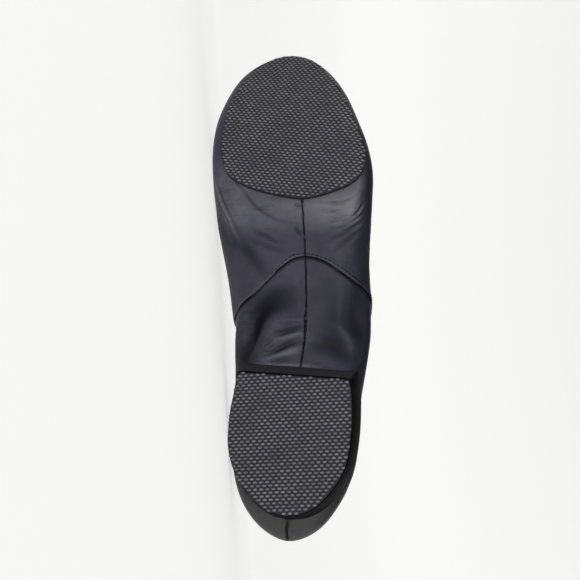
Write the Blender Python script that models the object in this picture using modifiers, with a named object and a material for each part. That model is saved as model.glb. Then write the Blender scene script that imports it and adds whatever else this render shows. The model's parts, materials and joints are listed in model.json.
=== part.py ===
# Left jazz shoe with a split sole, empty, lying on its inner side with the sole turned to -Y.
# It is modelled standing: +X from the back of the heel to the toe, +Y to the outer side of the foot,
# +Z up from the ground plane. The finished shoe is then laid on its side by its parent empty.
from collections import namedtuple
from math import radians, tan

import bmesh
import bpy
from mathutils import Matrix, Vector

# Driving sizes, in metres
shoe_length = 0.258  # back of the counter to the toe tip
ball_width = 0.0875  # across the upper at the ball of the foot
heel_height = 0.0140  # ground plane to the upper under the heel
instep_height = 0.0720  # ground plane to the top of the throat
throat_length = 0.1135  # back of the counter to the front of the foot opening
toe_spring = 0.0070  # how far the sole of the upper rises at the toe tip
upper_wall = 0.0013  # leather and lining together
overlap_raise = 0.0008  # vamp edge standing over the quarters
overlap_edge = 0.0005  # plan width of that raised edge
sole_thickness = 0.0024  # textured rubber under the forefoot
lift_thickness = 0.0025  # textured rubber under the heel
lift_bevel = 0.0004
insole_thickness = 0.0018
seat_cup = 0.0030  # how far the heel block's rim rises around the heel
gap = 0.0003  # clearance between pieces that touch
breast_angle = radians(25.0)  # slant of the heel's front face
flare_angle = radians(12.5)  # spread of the heel's sides towards the upper

# Mesh density of the upper
back_stations = 16  # back seam to the curved seam
side_stations = 4  # curved seam to the throat
front_stations = 17  # throat to the toe
heel_opening_end = 5  # station where the opening above the heel stops
sole_opening_start = 25  # station where the opening above the forefoot sole starts
margin_row = 2  # row where the turned-under margin stops
lid_rows = 2  # rows above the widest line that a cutter of the last's lower part reaches
sole_steps = 34  # points along each side of the forefoot sole's outline
tread_steps = 22  # points along each side of the heel tread's outline
tread_crowding = 1.7  # above 1, the tread's points crowd towards its round back
crease_angle = radians(40.0)  # sharper edges than this are shaded sharp
bevel_angle = radians(60.0)  # sharper edges than this take the lift's bevel

# Where the fan of sections starts and ends on the centre line, as shares of shoe_length
heel_pivot = 0.12
toe_pivot = 0.90

# The widest line of the upper seen from below: along as a share of shoe_length,
# inner and outer as shares of ball_width
Outline = namedtuple("Outline", "along inner outer")
heel_back = Outline(0.000, 0.022, -0.022)
outline_rows = [
    Outline(0.021, 0.183, 0.128),
    Outline(0.064, 0.293, 0.236),
    Outline(0.128, 0.357, 0.322),
    Outline(0.186, 0.364, 0.347),
    Outline(0.248, 0.367, 0.352),
    Outline(0.310, 0.382, 0.377),
    Outline(0.384, 0.403, 0.409),
    Outline(0.457, 0.439, 0.409),
    Outline(0.520, 0.482, 0.401),
    Outline(0.585, 0.524, 0.408),
    Outline(0.655, 0.553, 0.418),
    Outline(0.725, 0.577, 0.422),
    Outline(0.783, 0.587, 0.388),
    Outline(0.837, 0.572, 0.331),
    Outline(0.895, 0.519, 0.261),
    Outline(0.952, 0.423, 0.151),
    Outline(0.983, 0.310, 0.050),
]
toe_tip = Outline(1.000, 0.095, -0.095)

# Long profile of the underside: rise as a share of the heel's lift over the ball, spring as a share of
# toe_spring, centre (bottom seam) as a share of ball_width towards the outer side
Profile = namedtuple("Profile", "along rise spring centre")
profile_rows = [
    Profile(0.000, 1.00, 0.00, -0.022),
    Profile(0.120, 1.00, 0.00, -0.012),
    Profile(0.310, 1.00, 0.00, 0.020),
    Profile(0.370, 1.02, 0.00, 0.040),
    Profile(0.440, 0.88, 0.00, 0.045),
    Profile(0.504, 0.60, 0.00, 0.042),
    Profile(0.562, 0.33, 0.00, 0.034),
    Profile(0.620, 0.11, 0.00, 0.020),
    Profile(0.667, 0.00, 0.00, 0.006),
    Profile(0.740, 0.00, 0.00, -0.022),
    Profile(0.814, 0.00, 0.00, -0.056),
    Profile(0.872, 0.00, 0.16, -0.080),
    Profile(0.930, 0.00, 0.50, -0.095),
    Profile(1.000, 0.00, 1.00, -0.100),
]

# Top centre line: along as a share of the way from the throat to the toe tip, across as a share of
# ball_width towards the outer side, top as a share of instep_height. The first row lies behind the
# throat and makes the line start level.
Ridge = namedtuple("Ridge", "along across top")
ridge_rows = [
    Ridge(-0.125, -0.020, 1.000),
    Ridge(0.000, -0.020, 1.000),
    Ridge(0.114, -0.026, 0.945),
    Ridge(0.218, -0.040, 0.850),
    Ridge(0.321, -0.060, 0.775),
    Ridge(0.405, -0.076, 0.715),
    Ridge(0.536, -0.092, 0.635),
    Ridge(0.668, -0.102, 0.550),
    Ridge(0.771, -0.108, 0.480),
    Ridge(0.875, -0.110, 0.415),
    Ridge(1.000, -0.110, 0.350),
]

# Cross shape at the widest line: inner and outer are its heights as shares of instep_height,
# flat is the level share of the underside from the centre line outwards
Cross = namedtuple("Cross", "along inner outer flat")
cross_rows = [
    Cross(0.000, 0.375, 0.375, 0.56),
    Cross(0.078, 0.354, 0.354, 0.62),
    Cross(0.186, 0.333, 0.326, 0.72),
    Cross(0.310, 0.375, 0.347, 0.66),
    Cross(0.407, 0.424, 0.375, 0.36),
    Cross(0.508, 0.403, 0.347, 0.34),
    Cross(0.581, 0.354, 0.299, 0.48),
    Cross(0.659, 0.278, 0.236, 0.70),
    Cross(0.736, 0.229, 0.208, 0.78),
    Cross(0.833, 0.215, 0.194, 0.80),
    Cross(0.930, 0.195, 0.185, 0.72),
    Cross(1.000, 0.180, 0.180, 0.66),
]

# Top line of the foot opening: along as a share of throat_length, inner and outer as shares of ball_width,
# height as a share of instep_height, lean in degrees from upright towards the middle of the shoe
Collar = namedtuple("Collar", "along inner outer height lean")
collar_back = Collar(0.035, 0.022, -0.022, 0.920, 8.0)
collar_rows = [
    Collar(0.062, 0.150, 0.115, 0.908, 8.0),
    Collar(0.155, 0.245, 0.218, 0.880, 7.0),
    Collar(0.310, 0.322, 0.288, 0.835, 5.0),
    Collar(0.480, 0.366, 0.318, 0.800, 5.0),
    Collar(0.650, 0.384, 0.330, 0.800, 8.0),
    Collar(0.790, 0.368, 0.318, 0.845, 20.0),
    Collar(0.900, 0.300, 0.268, 0.910, 42.0),
    Collar(0.968, 0.185, 0.165, 0.968, 68.0),
]
collar_throat = Collar(1.000, 0.020, -0.020, 1.000, 90.0)

# Sections of the fan: where each starts on the widest line and where it ends on the top line and ridge
Fan = namedtuple("Fan", "low high")
throat_share = (throat_length / shoe_length - heel_pivot) / (toe_pivot - heel_pivot)
throat_start = 0.560
fan_rows = [
    Fan(0.000, 0.000),
    Fan(0.250, 0.205),
    Fan(0.420, 0.325),
    Fan(throat_start, throat_share),
    Fan(0.700, 0.585),
    Fan(0.850, 0.805),
    Fan(1.000, 1.000),
]
throat_fan = 0.11  # how much further forward the throat's row of stations starts at the bottom seam

# Level of a point in its section: 0 is the bottom centre line, 1 the widest line, 2 the top line
flat_level = 0.5  # where the level part of the underside ends
turn_pull = 0.56  # fullness of the curve from the level part up to the widest line
side_pull = 0.5  # fullness of the curve from the widest line up to the top line

# Curved seam where the vamp overlaps the quarters: level 0 is the bottom centre line, 1 the widest line
# and 2 the top line; inner and outer are places along the shoe as shares of shoe_length
Seam = namedtuple("Seam", "level inner outer")
seam_rows = [
    Seam(0.00, 0.533, 0.533),
    Seam(0.08, 0.532, 0.532),
    Seam(0.15, 0.527, 0.530),
    Seam(0.25, 0.515, 0.526),
    Seam(0.35, 0.502, 0.520),
    Seam(0.45, 0.486, 0.512),
    Seam(0.55, 0.471, 0.504),
    Seam(0.65, 0.459, 0.495),
    Seam(0.80, 0.443, 0.484),
    Seam(0.95, 0.425, 0.471),
    Seam(1.00, 0.413, 0.461),
    Seam(1.40, 0.399, 0.433),
    Seam(1.70, 0.394, 0.412),
    Seam(2.00, 0.391, 0.399),
]
seam_search = (0.15, 0.75)  # sections between which each row is searched for the seam
halvings = 30

# Forefoot sole: its outline from the middle of the back edge round to the toe, same shares as Outline
sole_back = Outline(0.6455, -0.015, 0.015)
sole_rows = [
    Outline(0.6510, 0.095, 0.125),
    Outline(0.6600, 0.205, 0.205),
    Outline(0.6720, 0.305, 0.290),
    Outline(0.6880, 0.390, 0.345),
    Outline(0.7080, 0.449, 0.373),
    Outline(0.7360, 0.473, 0.387),
    Outline(0.7680, 0.489, 0.362),
    Outline(0.8200, 0.481, 0.307),
    Outline(0.8620, 0.454, 0.262),
    Outline(0.9010, 0.412, 0.206),
    Outline(0.9400, 0.352, 0.130),
    Outline(0.9700, 0.266, 0.048),
]
sole_tip = Outline(0.9870, 0.082, -0.082)

# Heel tread: its outline from the back round to the front corners, along as a share of shoe_length
tread_back = Outline(0.0543, 0.008, -0.008)
tread_rows = [
    Outline(0.0590, 0.085, 0.073),
    Outline(0.0740, 0.169, 0.154),
    Outline(0.0980, 0.241, 0.221),
    Outline(0.1230, 0.287, 0.270),
    Outline(0.1500, 0.318, 0.300),
    Outline(0.1800, 0.333, 0.315),
    Outline(0.2130, 0.333, 0.322),
    Outline(0.2420, 0.324, 0.323),
    Outline(0.2660, 0.313, 0.318),
]
tread_corners = Outline(0.2950, 0.305, 0.308)
tread_front_slant = 0.0022  # how much further the front edge reaches on the inner side
corner_round = 0.0020
corner_cut = 0.3  # how far a corner's middle point is drawn in, as a share of corner_round

# Rows of the upper: shares of the level part, of the turn up to the widest line, and of the side
level_shares = [0.0, 0.36, 0.68, 1.0]
turn_shares = [0.20, 0.40, 0.60, 0.80, 1.0]
side_shares = [0.12, 0.25, 0.38, 0.51, 0.64, 0.77, 0.89, 1.0]

# Colours and finish: base colour, roughness
finishes = {
    "upper": ((0.030, 0.028, 0.034), 0.42),
    "insole": ((0.060, 0.058, 0.060), 0.80),
    "forefoot_sole": ((0.040, 0.040, 0.043), 0.62),
    "heel_block": ((0.016, 0.016, 0.018), 0.55),
    "heel_lift": ((0.040, 0.040, 0.043), 0.62),
}
# Rough density of each piece in kg/m3, for the balance of the lying shoe
densities = {
    "upper": 860.0,
    "insole": 500.0,
    "forefoot_sole": 1150.0,
    "heel_block": 700.0,
    "heel_lift": 1150.0,
}

ball_plane = sole_thickness + gap  # underside of the upper at the ball
least_inward = -0.7  # a face to rest on looks at least this far to the inner side
inner_side = -1.0
outer_side = 1.0


def column(rows, name, place):
    """Reads one column of a table at a place, with slopes that never overshoot the rows."""
    xs = [row[0] for row in rows]
    ys = [getattr(row, name) for row in rows]
    if place <= xs[0]:
        return ys[0]
    if place >= xs[-1]:
        return ys[-1]
    rises = [(ys[i + 1] - ys[i]) / (xs[i + 1] - xs[i]) for i in range(len(xs) - 1)]
    i = max(k for k in range(len(rises)) if xs[k] <= place)

    def slope(k):
        if k in (0, len(rises)):
            return rises[min(k, len(rises) - 1)]
        before, after = rises[k - 1], rises[k]
        if before * after <= 0.0:
            return 0.0
        return 2.0 * before * after / (before + after)

    width = xs[i + 1] - xs[i]
    t = (place - xs[i]) / width
    start = (1.0 + 2.0 * t) * (1.0 - t) ** 2 * ys[i] + t * (1.0 - t) ** 2 * width * slope(i)
    end = t * t * (3.0 - 2.0 * t) * ys[i + 1] - t * t * (1.0 - t) * width * slope(i + 1)
    return start + end


def distance(start, end):
    """Distance between two points by their places alone; a fourth number is carried along."""
    return Vector([end[k] - start[k] for k in range(min(len(start), 3))]).length


class Loop:
    """A smooth closed curve through points, read by share of the way along each of its two sides."""

    def __init__(self, back, rows_inner, front, rows_outer, steps=16):
        points = [back] + rows_inner + [front] + rows_outer[::-1]
        count = len(points)
        chord = [distance(points[k], points[(k + 1) % count]) for k in range(count)]

        def tangent(k):
            before, after = chord[k - 1], chord[k]
            inward = (points[k] - points[k - 1]) / before
            outward = (points[(k + 1) % count] - points[k]) / after
            return (inward * after + outward * before) / (before + after)

        samples = []
        for k in range(count):
            start, end = points[k], points[(k + 1) % count]
            out_tangent, in_tangent = tangent(k) * chord[k], tangent((k + 1) % count) * chord[k]
            for step in range(steps):
                t = step / steps
                samples.append(
                    start * (1.0 + 2.0 * t) * (1.0 - t) ** 2
                    + out_tangent * t * (1.0 - t) ** 2
                    + end * t * t * (3.0 - 2.0 * t)
                    - in_tangent * t * t * (1.0 - t)
                )
        turn = (len(rows_inner) + 1) * steps
        self.sides = {
            inner_side: samples[: turn + 1],
            outer_side: [samples[0]] + samples[:turn - 1:-1],
        }
        self.lengths = {side: self.measure(line) for side, line in self.sides.items()}

    @staticmethod
    def measure(line):
        lengths = [0.0]
        for before, after in zip(line, line[1:]):
            lengths.append(lengths[-1] + distance(before, after))
        return lengths

    def at(self, side, share):
        line, lengths = self.sides[side], self.lengths[side]
        target = min(max(share, 0.0), 1.0) * lengths[-1]
        low, high = 0, len(lengths) - 1
        while high - low > 1:
            middle = (low + high) // 2
            if lengths[middle] <= target:
                low = middle
            else:
                high = middle
        t = (target - lengths[low]) / (lengths[high] - lengths[low])
        return line[low].lerp(line[high], t)


def plan_point(row, side):
    share = row.inner if side == inner_side else row.outer
    return Vector((row.along * shoe_length, side * share * ball_width))


def plan_loop(back, rows, front):
    inner = [plan_point(row, inner_side) for row in rows]
    outer = [plan_point(row, outer_side) for row in rows]
    return Loop(plan_point(back, inner_side), inner, plan_point(front, inner_side), outer)


def collar_point(row, side):
    share = row.inner if side == inner_side else row.outer
    place = (row.along * throat_length, side * share * ball_width, row.height * instep_height)
    return Vector(place + (radians(row.lean),))


def collar_loop():
    inner = [collar_point(row, inner_side) for row in collar_rows]
    outer = [collar_point(row, outer_side) for row in collar_rows]
    return Loop(collar_point(collar_back, inner_side), inner, collar_point(collar_throat, inner_side), outer)


widest_line = plan_loop(heel_back, outline_rows, toe_tip)
top_line = collar_loop()


def underside(along):
    """Height of the level part of the upper's underside."""
    place = along / shoe_length
    rise = column(profile_rows, "rise", place) * (heel_height - ball_plane)
    return ball_plane + rise + column(profile_rows, "spring", place) * toe_spring


def slope_of(height, along):
    step = 0.0005
    return (height(along + step) - height(along - step)) / (2.0 * step)


def ridge_place(along):
    return (along - throat_length) / (shoe_length - throat_length)


def ridge_height(along):
    return column(ridge_rows, "top", ridge_place(along)) * instep_height


def top_point(side, share):
    """End of a section on the top line or the ridge, with the direction in which it arrives."""
    if share < throat_share:
        found = top_line.at(side, share / throat_share)
        return Vector(found[:3]), found[3]
    along = (heel_pivot + (toe_pivot - heel_pivot) * share) * shoe_length
    across = column(ridge_rows, "across", ridge_place(along)) * ball_width
    return Vector((along, across, ridge_height(along))), radians(90.0)


def bezier(a, b, c, d, t):
    u = 1.0 - t
    return a * u**3 + b * (3.0 * u * u * t) + c * (3.0 * u * t * t) + d * t**3


def last_point(side, share, level):
    """A point on the outside of the upper: level 0 to 1 is the underside, 1 to 2 the side."""
    along = (heel_pivot + (toe_pivot - heel_pivot) * share) * shoe_length
    centre = Vector((along, column(profile_rows, "centre", along / shoe_length) * ball_width))
    edge = widest_line.at(side, share)
    place = edge.x / shoe_length
    height = column(cross_rows, "inner" if side == inner_side else "outer", place) * instep_height
    widest = Vector((edge.x, edge.y, height))
    flat = column(cross_rows, "flat", place)
    if level <= flat_level:
        spot = centre.lerp(edge, flat * level / flat_level)
        return Vector((spot.x, spot.y, underside(spot.x)))
    if level <= 1.0:
        foot = centre.lerp(edge, flat)
        outward = (edge - centre).normalized()
        reach = (edge - foot).length * turn_pull
        climb = slope_of(underside, foot.x) * outward.x
        start = Vector((foot.x, foot.y, underside(foot.x)))
        leave = start + Vector((outward.x, outward.y, climb)) * reach
        arrive = widest - Vector((0.0, 0.0, (height - start.z) * turn_pull))
        return bezier(start, leave, arrive, widest, (level - flat_level) / (1.0 - flat_level))
    top, lean = top_point(side, column(fan_rows, "high", share))
    inward = Vector((top.x - edge.x, top.y - edge.y)).normalized()
    climb = slope_of(ridge_height, top.x) * inward.x
    level_way = Vector((inward.x, inward.y, climb)).normalized()
    upright = Vector((0.0, 0.0, 1.0))
    arrival = (upright * (radians(90.0) - lean) + level_way * lean).normalized()
    leave = widest + upright * (top.z - height) * side_pull
    arrive = top - arrival * abs((top - widest).dot(arrival)) * side_pull
    return bezier(widest, leave, arrive, top, level - 1.0)


def last_normal(side, share, level):
    step_share, step_level = 0.002, 0.004
    low, high = max(share - step_share, 0.0), min(share + step_share, 1.0)
    under, over = max(level - step_level, 0.0), min(level + step_level, 2.0)
    along = last_point(side, high, level) - last_point(side, low, level)
    around = last_point(side, share, over) - last_point(side, share, under)
    return around.cross(along).normalized() * side


def row_levels():
    levels = [flat_level * share for share in level_shares]
    levels += [flat_level + (1.0 - flat_level) * share for share in turn_shares]
    return levels + [1.0 + share for share in side_shares]


def plan_share(side, share, level):
    """Level of the seam table at a row: the plan share under the shoe, the row's own level above."""
    if level >= 1.0:
        return level
    centre = last_point(side, share, 0.0)
    edge = last_point(side, share, 1.0)
    spot = last_point(side, share, level)
    return (spot.xy - centre.xy).length / (edge.xy - centre.xy).length


def seam_share(side, level):
    """The section on which a row crosses the curved seam, found by halving."""
    low, high = seam_search
    name = "inner" if side == inner_side else "outer"
    for _ in range(halvings):
        middle = (low + high) / 2.0
        wanted = column(seam_rows, name, plan_share(side, middle, level)) * shoe_length
        if last_point(side, middle, level).x < wanted:
            low = middle
        else:
            high = middle
    return (low + high) / 2.0


def station_shares(side, level, row):
    """Places of all stations along one row, gathered on the curved seam and on the throat."""
    seam = seam_share(side, level)
    edge = overlap_edge / ((toe_pivot - heel_pivot) * shoe_length)
    last = len(level_shares + turn_shares + side_shares) - 1
    throat = throat_start + throat_fan * (1.0 - row / last)
    shares = [seam * k / back_stations for k in range(back_stations + 1)]
    start = seam + edge
    shares += [start + (throat - start) * k / side_stations for k in range(side_stations + 1)]
    shares += [throat + (1.0 - throat) * k / front_stations for k in range(1, front_stations + 1)]
    return shares


def last_grid():
    """Section share and level of every grid point, by side, station and row."""
    grid = {}
    for side in (inner_side, outer_side):
        for row, level in enumerate(row_levels()):
            for station, share in enumerate(station_shares(side, level, row)):
                grid[side, station, row] = (share, level)
    return grid


seam_station = back_stations
throat_station = back_stations + 1 + side_stations
toe_station = throat_station + front_stations
top_row = len(row_levels()) - 1
lid_row = len(level_shares + turn_shares) + lid_rows
insole_row = len(level_shares)
full_grid = last_grid()


def raise_at(station):
    """Height of the vamp's overlap: full at the seam's front edge and gone two stations ahead."""
    return {seam_station + 1: overlap_raise, seam_station + 2: overlap_raise * 0.5}.get(station, 0.0)


def last_skin(grow=0.0, last_row=lid_row, shape="body"):
    """The last's surface grown outwards, up to a row.

    Shape "upper" leaves the foot opening and the openings underneath and raises the vamp's edge,
    "sheet" stays open at its last row and "body" is closed there by a lid.
    """
    mesh = bmesh.new()
    wall = mesh.verts.layers.deform.verify()
    made = {}
    opened = shape == "upper"

    def corner(side, station, row):
        on_ridge = row == top_row and station >= throat_station
        shared = station in (0, toe_station) or row == 0 or on_ridge
        key = ("both" if shared else side, station, row)
        if key not in made:
            share, level = full_grid[side, station, row]
            raised = raise_at(station) if opened else 0.0
            point = last_point(side, share, level)
            if grow or raised:
                normal = last_normal(side, share, level)
                if row == 0 or on_ridge:
                    normal = (normal + last_normal(-side, share, level)).normalized()
                point = point + normal * (grow + raised)
            made[key] = mesh.verts.new(point)
            made[key][wall][0] = (upper_wall + raised) / (upper_wall + overlap_raise)
        return made[key]

    def under_opening(station, row):
        behind = station < heel_opening_end or station >= sole_opening_start
        return opened and row < margin_row and behind

    # where the centre line meets an end station, the two cells beside it become one
    ends = [(1, 0, 0, 1), (toe_station - 1, toe_station, 0, 1)]
    if opened:
        # both ends of the bottom seam fall in openings, so only the ridge's toe end is left
        ends = [(toe_station - 1, toe_station, top_row, top_row - 1)]
    end_cells = {(min(near, end), min(row, after)) for near, end, row, after in ends}
    for side in (inner_side, outer_side):
        for station in range(toe_station):
            for row in range(last_row):
                if (station, row) in end_cells or under_opening(station, row):
                    continue
                ring = [
                    corner(side, station, row),
                    corner(side, station, row + 1),
                    corner(side, station + 1, row + 1),
                    corner(side, station + 1, row),
                ]
                mesh.faces.new(ring if side == outer_side else ring[::-1])
    for near, end, row, after in ends:
        ring = [
            corner(inner_side, near, row),
            corner(inner_side, near, after),
            corner(inner_side, end, after),
            corner(outer_side, near, after),
        ]
        mesh.faces.new(ring[::-1] if (row == 0) != (end == 0) else ring)
    if shape == "body":
        for station in range(toe_station):
            ring = [
                corner(inner_side, station, lid_row),
                corner(inner_side, station + 1, lid_row),
                corner(outer_side, station + 1, lid_row),
                corner(outer_side, station, lid_row),
            ]
            mesh.faces.new(list(dict.fromkeys(ring)))
    return mesh


def finish(name, mesh, collection):
    """Stores a bmesh as an object of the collection."""
    data = bpy.data.meshes.new(name)
    mesh.to_mesh(data)
    mesh.free()
    thing = bpy.data.objects.new(name, data)
    collection.objects.link(thing)
    return thing


def paint(thing):
    colour, roughness = finishes[thing.name]
    material = bpy.data.materials.new(thing.name)
    material.use_nodes = True
    shader = material.node_tree.nodes["Principled BSDF"]
    shader.inputs["Base Color"].default_value = colour + (1.0,)
    shader.inputs["Roughness"].default_value = roughness
    shader.inputs["Metallic"].default_value = 0.0
    thing.data.materials.append(material)
    thing.data.shade_smooth()
    thing.data.set_sharp_from_angle(angle=crease_angle)


def cutter_body(name, grow, cutters):
    """The lower part of the last as a closed solid, for cutting what sits on or in it."""
    return hide_cutter(finish(name, last_skin(grow=grow), cutters))


def hide_cutter(thing):
    thing.hide_render = True
    thing.display_type = "WIRE"
    return thing


def prism(name, low_ring, high_ring, collection):
    """A closed solid between two level or slanting outlines with as many points each."""
    mesh = bmesh.new()
    low = [mesh.verts.new(point) for point in low_ring]
    high = [mesh.verts.new(point) for point in high_ring]
    mesh.faces.new(low[::-1])
    mesh.faces.new(high)
    for k in range(len(low)):
        after = (k + 1) % len(low)
        mesh.faces.new((low[k], low[after], high[after], high[k]))
    bmesh.ops.recalc_face_normals(mesh, faces=mesh.faces)
    return finish(name, mesh, collection)


def at_height(ring, height):
    return [Vector((point.x, point.y, height)) for point in ring]


def boolean(thing, operation, cutter):
    step = thing.modifiers.new(cutter.name, "BOOLEAN")
    step.operation = operation
    step.solver = "EXACT"
    step.object = cutter


def ring_from(loop, count):
    """Points round a loop at even distances on each side, inner side first."""
    inner = [loop.at(inner_side, k / count) for k in range(count)]
    outer = [loop.at(outer_side, 1.0 - k / count) for k in range(count)]
    return inner + outer


def make_upper(collection):
    thing = finish("upper", last_skin(last_row=top_row, shape="upper"), collection)
    thing.vertex_groups.new(name="wall")
    shell = thing.modifiers.new("wall", "SOLIDIFY")
    shell.thickness = upper_wall + overlap_raise
    shell.offset = -1.0
    shell.vertex_group = "wall"
    shell.thickness_vertex_group = 0.0
    shell.use_even_offset = True
    shell.use_quality_normals = True
    shell.use_rim = True
    return thing


def make_forefoot_sole(collection, cutters):
    """A sheet of even thickness on the upper's underside, cut to its outline."""
    thing = finish("forefoot_sole", last_skin(grow=gap + sole_thickness), collection)
    ring = ring_from(plan_loop(sole_back, sole_rows, sole_tip), sole_steps)
    top = column(cross_rows, "inner", 1.0) * instep_height
    outline = prism("sole_outline", at_height(ring, -top), at_height(ring, top), cutters)
    boolean(thing, "INTERSECT", hide_cutter(outline))
    boolean(thing, "DIFFERENCE", cutter_body("sole_seat", gap, cutters))
    return thing


def make_insole(collection):
    """A sheet over the inside of the upper's underside, its edge turned up a little."""
    depth = upper_wall + gap
    thing = finish("insole", last_skin(grow=-depth, last_row=insole_row, shape="sheet"), collection)
    sheet = thing.modifiers.new("sheet", "SOLIDIFY")
    sheet.thickness = insole_thickness
    sheet.offset = -1.0
    sheet.use_quality_normals = True
    return thing


def tread_ring():
    """Outline of the heel tread: a round back and a straight, slightly slanting front edge."""
    points = {}
    for side in (inner_side, outer_side):
        rows = [tread_back] + tread_rows + [tread_corners]
        name = "inner" if side == inner_side else "outer"
        line = []
        for k in range(tread_steps + 1):
            share = (k / tread_steps) ** tread_crowding
            place = tread_back.along + (tread_corners.along - tread_back.along) * share
            line.append(Vector((place * shoe_length, side * column(rows, name, place) * ball_width)))
        reach = tread_front_slant / 2.0 if side == inner_side else -tread_front_slant / 2.0
        corner = line[-1] + Vector((reach, 0.0))
        line[-1] = corner - Vector((corner_round, 0.0))
        line.append(corner - Vector((corner_cut * corner_round, corner_cut * side * corner_round)))
        line.append(corner - Vector((0.0, side * corner_round)))
        points[side] = line
    return points[inner_side] + points[outer_side][:0:-1]


def heel_ring(rise):
    """The heel's outline at a height above its tread, spread by the flare and the breast's slant."""
    ring = tread_ring()
    back, front = min(p.x for p in ring), max(p.x for p in ring)
    half = max(abs(p.y) for p in ring)
    spread = []
    for p in ring:
        share = (p.x - back) / (front - back)
        along = p.x + rise * (tan(breast_angle) * share**3 - tan(flare_angle) * (1.0 - share) ** 3)
        spread.append(Vector((along, p.y * (1.0 + rise * tan(flare_angle) / half))))
    return spread


def make_heel_block(collection, cutters):
    """A tapered block whose top is hollowed to the round of the upper."""
    low = lift_thickness + gap
    high = heel_height + seat_cup
    foot, rim = at_height(heel_ring(low), low), at_height(heel_ring(high), high)
    thing = prism("heel_block", foot, rim, collection)
    boolean(thing, "DIFFERENCE", cutter_body("heel_seat", gap, cutters))
    return thing


def make_heel_lift(collection):
    """A flat sheet of textured rubber in the shape of the tread."""
    mesh = bmesh.new()
    mesh.faces.new([mesh.verts.new((p.x, p.y, 0.0)) for p in tread_ring()])
    bmesh.ops.recalc_face_normals(mesh, faces=mesh.faces)
    face = next(iter(mesh.faces))
    if face.normal.z > 0.0:
        face.normal_flip()
    thing = finish("heel_lift", mesh, collection)
    sheet = thing.modifiers.new("sheet", "SOLIDIFY")
    sheet.thickness = lift_thickness
    sheet.offset = -1.0
    edges = thing.modifiers.new("edges", "BEVEL")
    edges.width = lift_bevel
    edges.segments = 1
    edges.limit_method = "ANGLE"
    edges.angle_limit = bevel_angle
    return thing


def evaluated(thing):
    bpy.context.view_layer.update()
    seen = thing.evaluated_get(bpy.context.evaluated_depsgraph_get())
    mesh = bmesh.new()
    mesh.from_mesh(seen.to_mesh())
    seen.to_mesh_clear()
    bmesh.ops.triangulate(mesh, faces=mesh.faces)
    return mesh


def balance_point(things):
    """Centre of mass of the shoe, from the volumes and the densities of its pieces."""
    mass, moment = 0.0, Vector()
    for thing in things:
        mesh = evaluated(thing)
        for face in mesh.faces:
            a, b, c = (v.co for v in face.verts)
            share = a.dot(b.cross(c)) / 6.0 * densities[thing.name]
            mass += share
            moment += (a + b + c) / 4.0 * share
        mesh.free()
    return moment / mass


def resting_facet(things, balance):
    """The face of the hull on the inner side that carries the balance point: normal and corners."""
    hull = bmesh.new()
    for thing in things:
        mesh = evaluated(thing)
        for v in mesh.verts:
            hull.verts.new(v.co)
        mesh.free()
    made = bmesh.ops.convex_hull(hull, input=hull.verts)
    faces = [item for item in made["geom"] if isinstance(item, bmesh.types.BMFace)]
    bmesh.ops.recalc_face_normals(hull, faces=faces)
    best = None
    for face in faces:
        normal = face.normal.copy()
        if normal.y > least_inward:
            continue
        corners = [v.co.copy() for v in face.verts]
        drop = balance - normal * (balance - corners[0]).dot(normal)
        around = [
            (corners[k - 2] - corners[k]).cross(drop - corners[k]).dot(normal) for k in range(len(corners))
        ]
        carried = min(around)
        if best is None or carried > best[0]:
            best = (carried, normal, corners)
    hull.free()
    return best[1], best[2]


def lay_on_side(things, cutters, collection):
    """Parents pieces and cutters to an empty that turns the resting plane down and the sole to -Y."""
    down, corners = resting_facet(things, balance_point(things))
    back = Vector((-1.0, 0.0, 0.0))
    back = (back - down * back.dot(down)).normalized()
    up = -down
    turn = Matrix((back, up.cross(back), up)).to_4x4()
    lying = bpy.data.objects.new("lying", None)
    collection.objects.link(lying)
    spots = []
    for thing in things:
        mesh = evaluated(thing)
        spots += [turn @ v.co for v in mesh.verts]
        mesh.free()
    lows = [min(p[k] for p in spots) for k in range(3)]
    highs = [max(p[k] for p in spots) for k in range(3)]
    shift = Vector((-(lows[0] + highs[0]) / 2.0, -(lows[1] + highs[1]) / 2.0, -lows[2]))
    lying.matrix_world = Matrix.Translation(shift) @ turn
    for thing in things + list(cutters.objects):
        thing.parent = lying


def clear_scene():
    for thing in list(bpy.data.objects):
        bpy.data.objects.remove(thing, do_unlink=True)


def new_collection(name):
    collection = bpy.data.collections.new(name)
    bpy.context.scene.collection.children.link(collection)
    return collection


def main():
    clear_scene()
    shoe = new_collection("jazz_shoe")
    cutters = new_collection("cutters")
    things = [
        make_upper(shoe),
        make_insole(shoe),
        make_forefoot_sole(shoe, cutters),
        make_heel_block(shoe, cutters),
        make_heel_lift(shoe),
    ]
    for thing in things:
        paint(thing)
    lay_on_side(things, cutters, shoe)
    bpy.context.view_layer.update()


main()
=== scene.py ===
import json
from math import atan2, cos, degrees, pi, radians, sin

import bpy
import numpy as np
from mathutils import Matrix, Vector
from mathutils.bvhtree import BVHTree


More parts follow.
